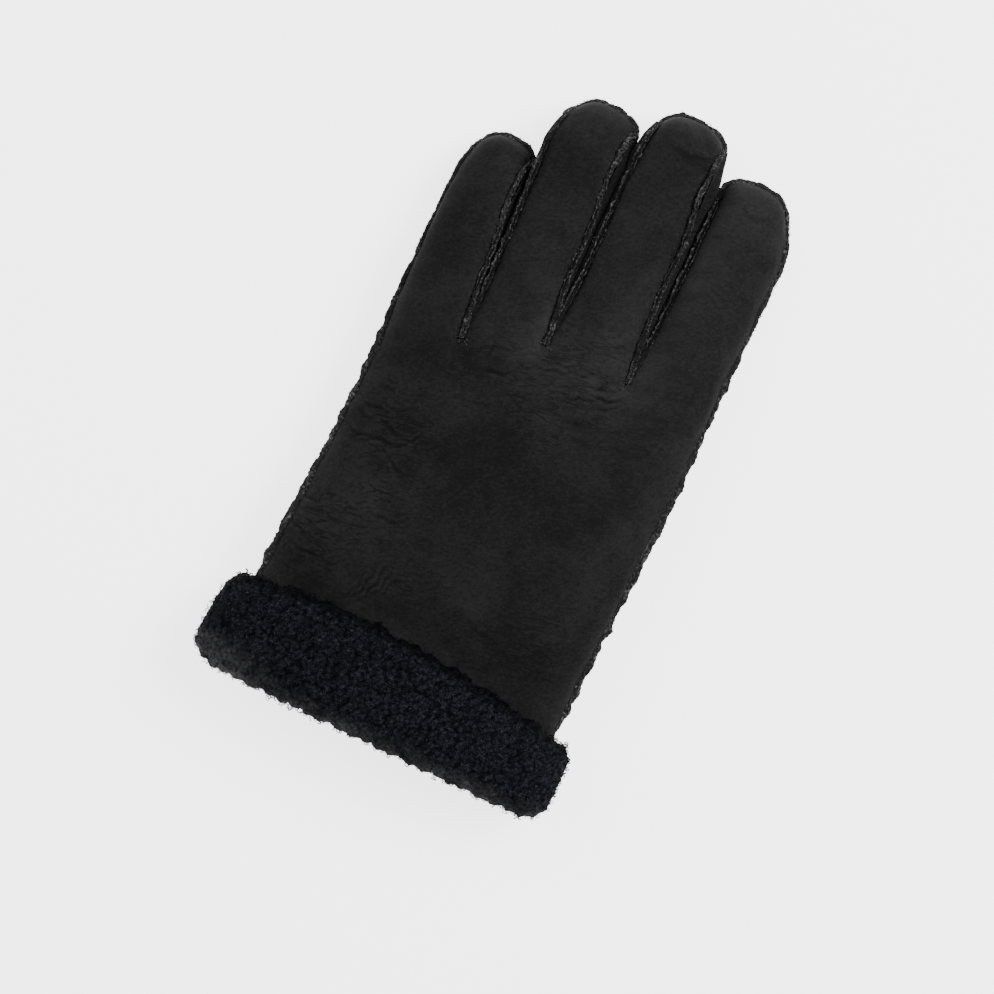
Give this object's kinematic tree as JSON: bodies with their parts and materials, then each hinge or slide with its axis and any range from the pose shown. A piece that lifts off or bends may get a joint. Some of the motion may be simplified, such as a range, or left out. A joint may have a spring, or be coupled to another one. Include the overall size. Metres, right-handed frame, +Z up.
{
  "type": "glove",
  "caption": "Left-hand winter glove in black shearling leather, lying palm down, with outside seams, a turned-back wool cuff and the thumb folded under the palm.",
  "frame": {"origin": "middle of the bounding box, on the surface that the glove lies on", "axes": "+Y from the cuff to the fingertips, +X to the thumb side, +Z up through the back of the hand"},
  "size_m": [0.1404, 0.252, 0.0403],
  "materials": {
    "leather": "soft matt nap",
    "fleece": "curly wool pile",
    "thread": "twisted thread"
  },
  "bodies": {
    "root": {"back_panel": "leather", "palm_panel": "leather", "fourchette_little_ring": "leather", "fourchette_ring_middle": "leather", "fourchette_middle_index": "leather", "thumb": "leather", "cuff": "fleece"}
  },
  "joints": []
}
